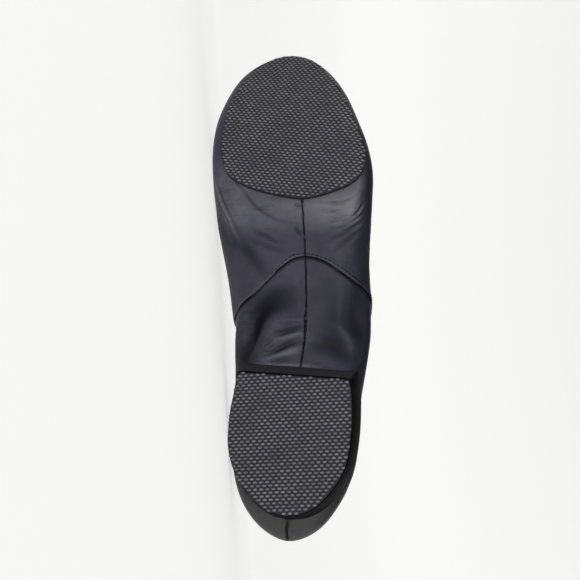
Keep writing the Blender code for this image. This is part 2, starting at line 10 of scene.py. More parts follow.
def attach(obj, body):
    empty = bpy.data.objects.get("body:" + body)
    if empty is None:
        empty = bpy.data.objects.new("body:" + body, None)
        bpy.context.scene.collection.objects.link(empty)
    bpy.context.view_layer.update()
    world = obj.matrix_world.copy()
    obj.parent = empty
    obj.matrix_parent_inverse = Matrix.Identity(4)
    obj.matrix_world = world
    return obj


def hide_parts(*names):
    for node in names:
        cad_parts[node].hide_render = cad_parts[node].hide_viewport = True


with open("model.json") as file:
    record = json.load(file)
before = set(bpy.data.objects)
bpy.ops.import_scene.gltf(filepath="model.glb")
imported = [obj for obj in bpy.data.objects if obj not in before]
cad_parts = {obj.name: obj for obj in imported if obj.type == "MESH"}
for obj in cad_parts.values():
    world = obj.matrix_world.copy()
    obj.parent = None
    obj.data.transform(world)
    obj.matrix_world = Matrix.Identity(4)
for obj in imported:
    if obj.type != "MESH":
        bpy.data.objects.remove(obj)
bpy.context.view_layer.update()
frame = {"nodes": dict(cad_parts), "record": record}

mm = 0.001

# The shoe lies on its side. It is dressed standing: X from the heel to the toe, Y to the outer side,
# Z up from its tread. Its two flat treads give that frame.
heelTread = {"x": 45.0, "y": 0.0}  # millimetres in the standing shoe
soleTread = {"x": 190.0, "y": -4.0}


def standingFrame():
    mounts = {mount["name"]: mount for mount in frame["record"]["mounts"]}
    up = -Vector(mounts["heel_tread"]["axis"]).normalized()
    heel = Vector(mounts["heel_tread"]["pos_m"])
    along = Vector(mounts["forefoot_tread"]["pos_m"]) - heel
    dx = (soleTread["x"] - heelTread["x"]) * mm
    dy = (soleTread["y"] - heelTread["y"]) * mm
    toeWay = (along * dx - up.cross(along) * dy).normalized()
    outerWay = up.cross(toeWay)
    corner = heel - toeWay * heelTread["x"] * mm - outerWay * heelTread["y"] * mm
    turn = Matrix((toeWay, outerWay, up)).transposed().to_4x4()
    return Matrix.Translation(corner) @ turn


shoeToRow = standingFrame()
rowToShoe = shoeToRow.inverted()


# Working tools

def pick(piece):
    bpy.ops.object.select_all(action="DESELECT")
    piece.select_set(True)
    bpy.context.view_layer.objects.active = piece


def newest(name):
    piece = bpy.context.view_layer.objects.active
    piece.name = name
    piece.data.name = name
    return piece


def addThing(name, data):
    thing = bpy.data.objects.new(name, data)
    bpy.context.scene.collection.objects.link(thing)
    return thing


def dress(piece, *materials):
    for material in materials:
        piece.data.materials.append(material)


def applyAll(piece):
    pick(piece)
    for modifier in list(piece.modifiers):
        bpy.ops.object.modifier_apply(modifier=modifier.name)


def points(piece):
    spots = np.empty(len(piece.data.vertices) * 3)
    piece.data.vertices.foreach_get("co", spots)
    return spots.reshape(-1, 3)


def putPoints(piece, spots):
    piece.data.vertices.foreach_set("co", spots.reshape(-1))
    piece.data.update()


def normals(piece):
    ways = np.empty(len(piece.data.vertices) * 3)
    piece.data.vertices.foreach_get("normal", ways)
    return ways.reshape(-1, 3)


def smoothAll(piece):
    piece.data.polygons.foreach_set("use_smooth", np.ones(len(piece.data.polygons), dtype=bool))


def smallBall(name):
    bpy.ops.object.select_all(action="DESELECT")
    bpy.ops.mesh.primitive_uv_sphere_add(segments=8, ring_count=6, radius=1.0)
    return newest(name)


def surfaceOf(piece):
    mesh = piece.data
    return BVHTree.FromPolygons([v.co[:] for v in mesh.vertices], [p.vertices[:] for p in mesh.polygons])


def copyOfNode(node, name):
    # a merged copy of a CAD node, stood upright for dressing
    mesh = frame["nodes"][node].data.copy()
    mesh.materials.clear()
    piece = addThing(name, mesh)
    mesh.name = name
    pick(piece)
    if mesh.has_custom_normals:
        bpy.ops.mesh.customdata_custom_splitnormals_clear()
    bpy.ops.object.mode_set(mode="EDIT")
    bpy.ops.mesh.select_all(action="SELECT")
    bpy.ops.mesh.remove_doubles(threshold=0.00002)
    bpy.ops.mesh.tris_convert_to_quads(face_threshold=radians(50), shape_threshold=radians(60))
    bpy.ops.object.mode_set(mode="OBJECT")
    mesh.transform(rowToShoe)
    return piece


def editOn(piece, kind, chosen, operator, **settings):
    # runs an edit operator on the chosen faces, edges or vertices, given by their indices
    pick(piece)
    bpy.context.tool_settings.mesh_select_mode = (kind == "vertices", kind == "edges", kind == "polygons")
    bpy.ops.object.mode_set(mode="EDIT")
    bpy.ops.mesh.select_all(action="DESELECT")
    bpy.ops.object.mode_set(mode="OBJECT")
    items = getattr(piece.data, kind)
    for index in chosen:
        items[index].select = True
    bpy.ops.object.mode_set(mode="EDIT")
    operator(**settings)
    bpy.ops.object.mode_set(mode="OBJECT")


def layDown(piece, node):
    # lays a dressed piece on its side, where its CAD node is
    piece.data.transform(shoeToRow)
    pick(piece)
    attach(piece, "root")
    if node:
        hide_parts(node)


def joinUnder(pieces, name):
    bpy.ops.object.select_all(action="DESELECT")
    for piece in pieces:
        piece.select_set(True)
    bpy.context.view_layer.objects.active = pieces[0]
    bpy.ops.object.join()
    return newest(name)


# Materials

class Wire:
    # a socket that can be used in sums
    def __init__(self, finish, socket):
        self.finish = finish
        self.socket = socket

    def sum(self, operation, first, second):
        return self.finish.node("ShaderNodeMath", {"operation": operation}, {0: first, 1: second})

    def __add__(self, other):
        return self.sum("ADD", self, other)

    def __radd__(self, other):
        return self.sum("ADD", other, self)

    def __sub__(self, other):
        return self.sum("SUBTRACT", self, other)

    def __rsub__(self, other):
        return self.sum("SUBTRACT", other, self)

    def __mul__(self, other):
        return self.sum("MULTIPLY", self, other)

    def __rmul__(self, other):
        return self.sum("MULTIPLY", other, self)


class Finish:
    # one Principled material, with all its nodes made by node
    def __init__(self, name, constants):
        self.material = bpy.data.materials.new(name)
        self.material.use_nodes = True
        self.tree = self.material.node_tree
        self.shader = self.tree.nodes["Principled BSDF"]
        for socket, value in constants.items():
            self.shader.inputs[socket].default_value = value

    def node(self, kind, settings=None, inputs=None, output=0):
        made = self.tree.nodes.new(kind)
        for name, value in (settings or {}).items():
            if name == "stops":
                self.setStops(made.color_ramp, value)
            else:
                setattr(made, name, value)
        for socket, value in (inputs or {}).items():
            if isinstance(value, Wire):
                self.tree.links.new(value.socket, made.inputs[socket])
            else:
                made.inputs[socket].default_value = value
        return Wire(self, made.outputs[output])

    @staticmethod
    def setStops(ramp, stops):
        while len(ramp.elements) < len(stops):
            ramp.elements.new(0.5)
        for element, (place, shade) in zip(ramp.elements, stops):
            element.position = place
            element.color = (shade, shade, shade, 1.0)

    def feed(self, socket, wire):
        self.tree.links.new(wire.socket, self.shader.inputs[socket])

    def standing(self, scale=(1.0, 1.0, 1.0)):
        # object coordinates turned into the standing shoe's, in millimetres times the scale
        place = self.node("ShaderNodeTexCoord", output="Object")
        moved = {"Location": tuple(rowToShoe.translation), "Rotation": rowToShoe.to_euler()}
        upright = self.node("ShaderNodeMapping", inputs={"Vector": place, **moved})
        stretch = tuple(value * 1000.0 for value in scale)
        return self.node("ShaderNodeMapping", inputs={"Vector": upright, "Scale": stretch})

    def noise(self, where, size, detail=3.0, rough=0.55, warp=0.0):
        # a grey noise whose features are about size millimetres wide
        inputs = {"Vector": where, "Scale": 1.0 / size, "Detail": detail, "Roughness": rough}
        inputs["Distortion"] = warp
        return self.node("ShaderNodeTexNoise", inputs=inputs)

    def ramp(self, wire, stops):
        return self.node("ShaderNodeValToRGB", {"stops": stops}, {"Fac": wire})

    def mix(self, factor, first, second):
        return self.node("ShaderNodeMix", {"data_type": "RGBA"}, {0: factor, 6: first, 7: second}, output=2)

    def attribute(self, name):
        return self.node("ShaderNodeAttribute", {"attribute_name": name}, output="Fac")

    @staticmethod
    def paler(colour, times):
        return tuple(value * times for value in colour[:3]) + (1.0,)

    def bump(self, height, distance, strength, after=None):
        inputs = {"Height": height, "Distance": distance, "Strength": strength}
        if after is not None:
            inputs["Normal"] = after
        return self.node("ShaderNodeBump", inputs=inputs)


leather = {
    "dark": (0.0225, 0.0215, 0.0340, 1.0),
    "light": (0.0450, 0.0435, 0.0620, 1.0),
    "counter": (0.050, 0.048, 0.045, 1.0),
    "paintedSheen": (0.122, 0.121, 0.133, 1.0),  # painted sheen over the ball, behind the tread
    "paintedHighlight": (0.150, 0.148, 0.165, 1.0),  # painted highlight on the crests of the folds and the top of the vamp's raised edge
    # painted shade in the troughs and on the outer side's lower rim
    "hollow": (0.0014, 0.0016, 0.0030, 1.0),
    # painted shade in the seam grooves and at the foot of the vamp's raised edge
    "seam": (0.0010, 0.0010, 0.0026, 1.0),
    "counterShare": 0.8,
    "crestShare": 0.6,
    "lineShare": 0.6,  # how far painted shade darkens the fine wrinkle lines
    "gloss": 0.10,
    "smooth": 0.36,
    "matt": 0.56,
    "coatRough": 0.42,
    "pulledCoat": 0.20,
    "crestCoat": 0.30,
    "broadSize": 46.0,  # sizes in millimetres
    "patchSize": 11.0,
    "workedSize": 24.0,
    "wrinkleSize": 2.6,
    "grainSize": 0.9,
    "fineSize": 0.35,
    "grainDepth": 0.00006,  # depths in metres
    "wrinkleDepth": 0.00032,
}


def leatherFinish():
    constants = {"Specular IOR Level": leather["gloss"], "Coat Roughness": leather["coatRough"]}
    finish = Finish("softLeather", constants)
    where = finish.standing()
    broad = finish.noise(where, leather["broadSize"], detail=2.0)
    patchy = finish.noise(where, leather["patchSize"], detail=4.0, warp=0.4)
    tone = finish.ramp(broad * 0.6 + patchy * 0.4, [(0.30, 0.0), (0.70, 1.0)])
    shade = finish.mix(tone, leather["dark"], leather["light"])
    shade = finish.mix(finish.attribute("counter") * leather["counterShare"], shade, leather["counter"])
    # painted sheen: the stretch attribute is its mask, which also weights the coat
    paintedSheenBand = finish.attribute("stretch") * finish.ramp(patchy, [(0.25, 0.45), (0.75, 1.0)])
    shade = finish.mix(paintedSheenBand, shade, leather["paintedSheen"])
    across = finish.standing(scale=(1.0, 0.22, 0.30))
    wrinkles = finish.noise(across, leather["wrinkleSize"], detail=5.0, rough=0.6, warp=0.8)
    lines = finish.ramp(wrinkles, [(0.36, 0.0), (0.47, 0.85), (0.62, 1.0)])
    patches = finish.noise(where, leather["workedSize"], detail=1.0)
    worked = finish.ramp(patches, [(0.42, 0.15), (0.68, 1.0)])
    # painted shade in the fine wrinkle lines
    shade = finish.mix((1.0 - lines) * worked * leather["lineShare"], shade, leather["dark"])
    # painted highlight on the ridges of the folds and the top of the vamp's raised edge
    crest = finish.attribute("crest")
    shade = finish.mix(crest * leather["crestShare"], shade, leather["paintedHighlight"])
    # painted shade in the troughs and on the outer side's lower rim
    shade = finish.mix(finish.attribute("hollow"), shade, leather["hollow"])
    # painted shade in the seam grooves and at the foot of the vamp's raised edge
    seam = finish.attribute("seam")
    finish.feed("Base Color", finish.mix(seam, shade, leather["seam"]))
    finish.feed("Coat Weight", paintedSheenBand * leather["pulledCoat"] + crest * leather["crestCoat"])

    grain = finish.node(
        "ShaderNodeTexVoronoi",
        {"feature": "SMOOTH_F1"},
        {"Vector": where, "Scale": 1.0 / leather["grainSize"], "Smoothness": 0.35, "Randomness": 1.0},
        output="Distance",
    )
    fine = finish.noise(where, leather["fineSize"], detail=2.0)
    rough = leather["smooth"] + (leather["matt"] - leather["smooth"]) * (tone * 0.5 + fine * 0.5)
    finish.feed("Roughness", rough + seam * 0.2)
    low = finish.bump(lines * worked, leather["wrinkleDepth"], 0.55)
    finish.feed("Normal", finish.bump(grain * 0.7 + fine * 0.3, leather["grainDepth"], 0.8, after=low))
    return finish.material


lining = {
    "dark": (0.020, 0.020, 0.021, 1.0),
    "light": (0.050, 0.049, 0.052, 1.0),
    "thread": 0.55,  # millimetres between threads
    "patchSize": 7.0,
    "depth": 0.00010,
}


def clothFinish(name, lift=1.0):
    finish = Finish(name, {"Roughness": 0.85, "Specular IOR Level": 0.3})
    where = finish.standing()
    parts = finish.node("ShaderNodeSeparateXYZ", inputs={0: where})
    waves = []
    for axis in (0, 1, 2):
        spot = Wire(finish, parts.socket.node.outputs[axis])
        turned = spot * (2.0 * pi / lining["thread"])
        waves.append(finish.node("ShaderNodeMath", {"operation": "SINE"}, {0: turned}))
    weave = (waves[0] * waves[1] + waves[0] * waves[2]) * 0.35 + 0.5
    patchy = finish.noise(where, lining["patchSize"], detail=4.0)
    light = finish.paler(lining["light"], lift)
    finish.feed("Base Color", finish.mix(weave * 0.5 + patchy * 0.5, lining["dark"], light))
    finish.feed("Normal", finish.bump(weave, lining["depth"], 0.8))
    return finish.material


rubber = {
    "ground": (0.0140, 0.0138, 0.0165, 1.0),
    "tips": (0.108, 0.106, 0.120, 1.0),
    "wornTipHighlight": (0.190, 0.187, 0.202, 1.0),
    "block": (0.0022, 0.0022, 0.0028, 1.0),
    "breast": (0.0260, 0.0250, 0.0270, 1.0),  # painted light on the heel's front face, which faces the toe
    "dusty": 2.2,  # how many times paler the ground gets with dust
    "scuffed": 2.6,  # and the block with scuffs
    "dustSize": 3.0,  # sizes in millimetres
    "wornSize": 17.0,
    "speckSize": 1.1,
    "scuffSize": 2.2,
    "patchSize": 9.0,
    "groundGloss": 0.1,
    "tipGloss": 0.25,
    "blockGloss": 0.02,
    "groundRough": (0.62, 0.2),  # the least, and what the noise adds
    "tipRough": (0.50, 0.18),
    "blockRough": (0.46, 0.25),
    "groundPits": (0.4, 0.00006, 0.7),  # size in millimetres, depth in metres, strength
    "tipPits": (0.3, 0.00004, 0.5),
    "blockPits": (0.5, 0.00008, 0.6),
}


def rubberGroundFinish():
    finish = Finish("rubberGround", {"Specular IOR Level": rubber["groundGloss"]})
    where = finish.standing()
    dust = finish.noise(where, rubber["dustSize"], detail=5.0)
    pale = finish.paler(rubber["ground"], rubber["dusty"])
    finish.feed("Base Color", finish.mix(dust, rubber["ground"], pale))
    least, more = rubber["groundRough"]
    finish.feed("Roughness", least + dust * more)
    size, depth, strength = rubber["groundPits"]
    finish.feed("Normal", finish.bump(finish.noise(where, size), depth, strength))
    return finish.material


def rubberTipFinish():
    finish = Finish("rubberTips", {"Specular IOR Level": rubber["tipGloss"]})
    where = finish.standing()
    wearAndPaintedLight = finish.ramp(finish.noise(where, rubber["wornSize"], detail=3.0), [(0.35, 0.0), (0.70, 1.0)])
    speck = finish.noise(where, rubber["speckSize"], detail=2.0)
    top = finish.mix(wearAndPaintedLight * 0.6 + speck * 0.4, rubber["tips"], rubber["wornTipHighlight"])
    # painted highlight on the bump tops, paler where worn
    finish.feed("Base Color", finish.mix(finish.attribute("tip"), rubber["ground"], top))
    least, more = rubber["tipRough"]
    finish.feed("Roughness", least + speck * more)
    size, depth, strength = rubber["tipPits"]
    finish.feed("Normal", finish.bump(finish.noise(where, size), depth, strength))
    return finish.material


def blockFinish():
    finish = Finish("heelRubber", {"Specular IOR Level": rubber["blockGloss"]})
    where = finish.standing()
    scuff = finish.noise(finish.standing(scale=(0.4, 0.4, 1.6)), rubber["scuffSize"], detail=5.0)
    patchy = finish.ramp(finish.noise(where, rubber["patchSize"], detail=3.0), [(0.4, 0.0), (0.7, 1.0)])
    pale = finish.paler(rubber["block"], rubber["scuffed"])
    shade = finish.mix(patchy * scuff, rubber["block"], pale)
    # painted light on the faces toward the toe
    finish.feed("Base Color", finish.mix(finish.attribute("breast"), shade, rubber["breast"]))
    least, more = rubber["blockRough"]
    finish.feed("Roughness", least + scuff * more)
    size, depth, strength = rubber["blockPits"]
    finish.feed("Normal", finish.bump(scuff * 0.6 + finish.noise(where, size) * 0.4, depth, strength))
    return finish.material


thread = {
    "dark": (0.002, 0.002, 0.004, 1.0),
    "light": (0.007, 0.007, 0.010, 1.0),
    "twist": 0.35,  # millimetres
    "depth": 0.00005,
}


def threadFinish():
    finish = Finish("blackThread", {"Roughness": 0.6, "Specular IOR Level": 0.12})
    twist = finish.noise(finish.standing(), thread["twist"], detail=1.0)
    finish.feed("Base Color", finish.mix(twist, thread["dark"], thread["light"]))
    finish.feed("Normal", finish.bump(twist, thread["depth"], 0.6))
    return finish.material


print("finishes")
leatherMaterial = leatherFinish()
liningMaterial = clothFinish("liningCloth")
insoleMaterial = clothFinish("insoleCloth", lift=1.5)
groundMaterial = rubberGroundFinish()
tipMaterial = rubberTipFinish()
blockMaterial = blockFinish()
threadMaterial = threadFinish()


# Leather upper

# Centre seam of the two halves, seen from below: millimetres from the heel's back and to the outer side
centreSeam = [(12.0, -1.0), (31.0, -1.05), (80.0, 1.75), (95.5, 3.5), (113.5, 3.94), (130.0, 3.68),
              (145.0, 2.98), (160.0, 1.75), (172.1, 0.53), (190.9, -1.9)]
backSeamAcross = -1.93
# A line through the hollow of the shoe, for telling the wall's outside from its inside
hollowLine = {
    "ends": (35.0, 226.0),
    "across": [(100.0, 0.0), (260.0, -8.0)],
    "up": [(150.0, 26.0), (230.0, 16.0)],
}

# Folds of the worn leather, each a path from below in the standing shoe: (along, across, up) in
# millimetres, snapped to the surface. Depth above 0 is a trough, below 0 a ridge. Through folds move
# the whole wall, the others only its outside. Shade is how much painted shade a trough gets or how much
# painted highlight a ridge gets.
def fold(depth, width, shade, path, through=False):
    return {"path": path, "depth": depth, "width": width, "shade": shade, "through": through}


folds = [
    # hollow of the arch on the inner side, with the creases that fan out from the centre seam
    fold(4.2, 4.8, 1.0, [(115.5, 0, 12), (116, -8.5, 12), (113.8, -15.5, 13), (109.3, -20.3, 14),
         (103.3, -23.6, 15), (96.6, -25.6, 16), (89.5, -27, 16), (83, -28, 15)], through=True),
    # these two shallow folds mostly paint shade along the hollow
    fold(0.1, 4.8, 0.8, [(115, 1, 12), (114.5, -7, 12), (112.5, -14.5, 13), (108.5, -19.5, 14),
         (103, -23, 15), (97, -25.5, 16)]),
    fold(0.1, 5.6, 1.0, [(111, -20.8, 14), (104, -24, 15), (96.6, -26.4, 16), (89.5, -27.6, 16),
         (82, -28.5, 15), (72, -28, 15)]),
    fold(0.9, 2.6, 1.0, [(114, -10, 12), (111, -17, 13), (106, -22, 14), (100, -25.5, 15), (92, -28, 16),
         (84, -29, 15)]),
    fold(1.8, 5.0, 0.85, [(97, 5, 14), (95, 11, 14), (93, 19, 14), (89, 25.5, 15),
         (84, 31, 17)], through=True),
    # these two shallow folds mostly paint shade along the outer side of the arch
    fold(0.2, 6.5, 0.85, [(136, 32, 10), (124, 32.5, 11), (112, 32, 12), (100, 32, 13), (88, 32, 14),
         (76, 32, 15)]),
    fold(0.1, 11.0, 0.5, [(140, 20, 8), (124, 21, 10), (108, 21, 12), (92, 20, 14), (78, 18, 15)]),
    fold(1.0, 4.0, 0.45, [(122, 28.5, 15), (114, 28, 15), (106, 28, 16), (96, 29, 16)], through=True),
    fold(-0.8, 4.0, 0.1, [(112, -27, 18), (100, -31, 20), (88, -31, 20)], through=True),
    fold(0.8, 1.3, 0.7, [(102.5, 3, 14), (101.1, -2, 14), (99.5, -7, 14), (98.4, -12, 14)]),
    fold(-0.8, 1.5, 0.55, [(99.6, 2.8, 14), (98.3, -2, 14), (96.6, -7, 14), (95.4, -13, 14)]),
    fold(1.0, 1.3, 0.9, [(95.4, 2.9, 14), (93.4, -4, 14), (90.9, -9, 14), (87, -17.5, 14)]),
    fold(0.8, 1.1, 0.6, [(97, -13, 14), (94, -15.5, 14), (92, -18.5, 14)]),
    fold(-0.8, 2.0, 0.6, [(92.2, 2, 14), (88.8, -6.2, 14), (86.3, -13.6, 14), (83.6, -19, 14)]),
    fold(0.5, 1.2, 0.5, [(86.4, -2.6, 14), (84.8, -10.6, 14), (84, -15, 14)]),
    fold(0.3, 0.8, 0.3, [(107.7, 1.8, 13), (107.4, -3.9, 13), (107.7, -10.3, 13)]),
    fold(-0.4, 1.2, 0.25, [(106.1, 2, 13), (105.8, -3.9, 13), (105.6, -9, 13)]),
    fold(0.35, 0.8, 0.35, [(104.6, 2.2, 14), (104.2, -3.9, 14), (103.9, -10.8, 14)]),
    fold(0.6, 0.8, 0.6, [(93.1, -10.5, 14), (91.8, -13.6, 14), (91.5, -17.3, 14)]),
    # the edge turned up at the heel's front, with a painted highlight where it catches the light
    fold(-0.25, 0.6, 0.95, [(81.9, -25, 15), (83.1, -20, 14), (83.4, -12, 14), (83.2, -2, 14),
         (82.6, 8, 14), (81.8, 16, 14)]),
    # along the tread's back edge and the inner side
    fold(0.5, 0.8, 0.6, [(184, -38, 3), (177.6, -34, 3), (172, -29.3, 3), (166.4, -25.5, 3),
         (162.2, -21.3, 4), (158.7, -16, 4), (156.3, -11.3, 5), (154.9, -5.5, 5), (154, 1, 5)]),
    fold(-0.8, 0.9, 0.6, [(186, -49.5, 10), (177.4, -46, 8), (167.4, -42.2, 7), (158, -37.6, 7),
         (150.4, -34, 8), (145, -31, 9)]),
    fold(0.6, 1.3, 0.45, [(176, -42.5, 6), (166, -38.6, 6), (157, -34.5, 7), (148, -29.5, 8)]),
    fold(0.7, 3.2, 0.5, [(170, -47.5, 14), (158.6, -43.8, 13), (150.8, -40.2, 13), (143, -36, 13)]),
    fold(1.0, 3.4, 0.55, [(148, -38.6, 13), (143, -29.5, 9), (136.5, -24, 9), (130.6, -19, 10),
         (126, -15, 10)]),
    fold(0.5, 1.2, 0.55, [(151.2, -25, 5), (149.3, -19.3, 6), (146.7, -14.6, 6), (144, -10, 6)]),
    fold(0.5, 1.4, 0.4, [(146.4, -26, 7), (143.8, -19.2, 7), (141.8, -13.4, 7), (139.4, -7, 7)]),
    fold(0.5, 0.9, 0.7, [(165, -3, 3), (163.7, -0.6, 3), (163, 0.8, 4)]),
    fold(0.5, 1.1, 0.6, [(154, -3.4, 5), (150.5, -0.8, 5), (148, 1.6, 6)]),
    # fine wrinkles of the outer side
    fold(0.3, 0.8, 0.3, [(169, 30, 3), (165.2, 21.2, 3), (165.0, 14.2, 3), (165.8, 7, 3)]),
    fold(0.35, 0.8, 0.42, [(165.8, 32.6, 7), (159.3, 28.7, 6), (155.9, 24.1, 5), (154, 19, 5)]),
    fold(-0.35, 0.8, 0.35, [(162, 30.5, 7), (157.4, 25.6, 6), (154.4, 19.6, 5), (152.8, 12, 5)]),
    fold(0.35, 0.8, 0.42, [(160.4, 32, 8), (155.6, 27, 6), (152.6, 21.2, 5), (151, 14, 5)]),
    fold(0.5, 1.0, 0.55, [(155.8, 31.6, 9), (151.7, 26.4, 7), (148.2, 20, 6), (145.8, 13.4, 6)]),
    fold(0.5, 1.2, 0.45, [(149.8, 29.8, 9), (145.1, 24.1, 7), (141.8, 17.6, 7)]),
    # top and sides
    fold(0.8, 3.0, 0.4, [(168, -50, 22), (160, -36, 42), (156, -18, 53), (155, -2, 56)]),
    fold(0.8, 2.6, 0.4, [(178, -51, 24), (171, -36, 38), (167, -18, 48), (166, 2, 51), (168, 18, 46)]),
    fold(0.8, 3.0, 0.4, [(160, 33, 24), (152, 26, 43), (148, 12, 55)]),
    fold(0.6, 3.0, 0.3, [(147, 34, 26), (141, 28, 44), (137, 16, 57)]),
    fold(0.5, 4.0, 0.2, [(24, 24, 30), (40, 31, 34), (58, 33, 36)]),
    fold(0.6, 4.0, 0.3, [(64, 33, 42), (80, 34, 36), (95, 36, 34)]),
    fold(0.6, 4.0, 0.3, [(66, -36, 44), (82, -35, 38), (98, -36, 36)]),
]
upperLook = {
    "subdivisions": 2,
    "stepWidth": 1.08,  # millimetres; faces narrower than this are the vamp's raised edge
    "vampFrom": 90.0,
    "wall": 1.3,
    "wallWithin": 0.12,
    "rimLong": 3.0,
    "rimCrease": 0.65,
    "longSide": 2.0,  # times a face's shortest side
    "archFrom": 78.0,
    "archTo": 196.0,
    "archBelow": 17.0,
    "archFacing": 0.1,
    "fineBelow": 1.7,  # folds narrower than this get finer faces, as far as the reach
    "fineReach": 2.6,
    "fineStep": 2.0,
}
rounding = {
    "passes": 2,
    "share": 0.9,
}
foldLook = {
    "step": 1.2,  # millimetres between the points of a path
    "reach": 4.0,  # times the fold's width
    "end": 0.02,  # share of the path over which the taper isn't followed down to nothing
    "taper": 0.7,
    "lip": 0.42,  # how far the leather beside a trough rises, and where, in widths
    "lipAt": 1.9,
    "lipWidth": 0.8,
    "hollowSpread": 1.25,  # a deep trough's painted shade reaches this much wider than its shape
}
# Round the two lengthwise seams, for their grooves and, a little wider, for their painted shade: how far
# a point faces down or back, and the millimetres along that the seam runs
grooveRound = {"down": 0.5, "from": 76.0, "to": 176.0, "back": 0.35, "backTo": 22.0}
shadeRound = {"down": 0.3, "from": 70.0, "to": 180.0, "back": 0.2, "backTo": 24.0}
groove = {
    "onLine": 0.42,  # millimetres; points nearer than this are on the seam
    "width": 0.9,
    "depth": 0.75,
    "middle": 0.2,
    "fade": (0.3, 0.7),  # the seam's painted shade fades between these two distances
}
# painted shade, highlight and sheen on the upper, and where the counter's own colour goes
paintedLightAndCounter = {
    "onStep": 0.94,  # share of the vamp's edge from which a point belongs to it
    # painted shadow on the vamp's raised edge and along its foot
    "stepDark": (0.0, 0.35),
    "footLine": (0.76, 0.95),
    "topFrom": 0.9,
    "topHighlight": 0.4,
    "bandBack": (147.0, 160.0),  # millimetres along, where the painted sheen lies
    "bandFront": (176.0, 196.0),
    "bandFacing": (0.45, 0.9),
    "bandAcross": (-8.0, 16.0),
    # share of the painted sheen that the inner side gets
    "innerShine": 0.6,
    "lowerRim": ((0.35, 0.8), (-0.1, 0.25)),  # facing out and facing down
    "rimEnd": (190.0, 225.0),
    "rimDark": 0.6,
    "counter": (12.0, 42.0),
}


def smoothStep(values, low, high):
    share = np.clip((values - low) / (high - low), 0.0, 1.0)
    return share * share * (3.0 - 2.0 * share)


def readTable(table, along):
    # metres read from a table of millimetres
    return np.interp(along, [row[0] * mm for row in table], [row[1] * mm for row in table])


def outward(spots, ways):
    # above 0 on the outside of the wall, below 0 on its inside
    back, front = hollowLine["ends"]
    axis = spots.copy()
    axis[:, 0] = np.clip(spots[:, 0], back * mm, front * mm)
    axis[:, 1] = readTable(hollowLine["across"], spots[:, 0])
    axis[:, 2] = readTable(hollowLine["up"], spots[:, 0])
    return np.einsum("ij,ij->i", spots - axis, ways)


def alongPath(path, step):
    # points every step metres along a smooth curve through the path's own points
    spots = [Vector(spot) * mm for spot in path]
    ends = [spots[0] * 2 - spots[1]] + spots + [spots[-1] * 2 - spots[-2]]
    found = []
    for k in range(1, len(ends) - 2):
        a, b, c, d = ends[k - 1:k + 3]
        count = max(2, int((c - b).length / step))
        for i in range(count):
            t = i / count
            found.append(0.5 * (2 * b + (c - a) * t + (2 * a - 5 * b + 4 * c - d) * t * t
                                + (3 * b - a - 3 * c + d) * t ** 3))
    return found + [spots[-1]]


def pressFold(piece, crease, surface, outside, wearAndPaintedLight):
    # moves the wall along a fold's path and notes how much painted shade or painted highlight each point
    # gets
    found = [surface.find_nearest(spot) for spot in alongPath(crease["path"], foldLook["step"] * mm)]
    spots = points(piece)
    reach = crease["width"] * mm
    low = np.min([hit[0] for hit in found], axis=0) - foldLook["reach"] * reach
    high = np.max([hit[0] for hit in found], axis=0) + foldLook["reach"] * reach
    near = np.where(np.all((spots > low) & (spots < high), axis=1))[0]
    if not crease["through"]:
        near = near[outside[near]]
    if not len(near):
        return
    centres = np.array([hit[0] for hit in found])
    ways = np.array([hit[1] for hit in found])
    gaps = np.linalg.norm(spots[near][:, None, :] - centres[None, :, :], axis=2)
    nearest = gaps.argmin(axis=1)
    apart = gaps[np.arange(len(near)), nearest] / reach
    share = nearest / (len(found) - 1.0)
    taper = np.sin(pi * np.clip(share, foldLook["end"], 1.0 - foldLook["end"])) ** foldLook["taper"]
    lip = np.exp(-((apart - foldLook["lipAt"]) / foldLook["lipWidth"]) ** 2)
    shape = np.exp(-apart ** 2) - foldLook["lip"] * lip
    amount = crease["depth"] * mm * taper * shape
    spots[near] -= ways[nearest] * amount[:, None]
    putPoints(piece, spots)
    kind = "hollow" if crease["depth"] > 0.0 else "crest"
    spread = foldLook["hollowSpread"] if crease["through"] else 1.0
    shown = crease["shade"] * taper * np.exp(-(apart / spread) ** 2) * outside[near]
    wearAndPaintedLight[kind][near] = np.maximum(wearAndPaintedLight[kind][near], shown)


def keepValues(piece, name, values):
    layer = piece.data.attributes.get(name) or piece.data.attributes.new(name, "FLOAT", "POINT")
    layer.data.foreach_set("value", np.asarray(values, dtype=np.float32))


def readValues(piece, name):
    values = np.empty(len(piece.data.vertices), dtype=np.float32)
    piece.data.attributes[name].data.foreach_get("value", values)
    return values


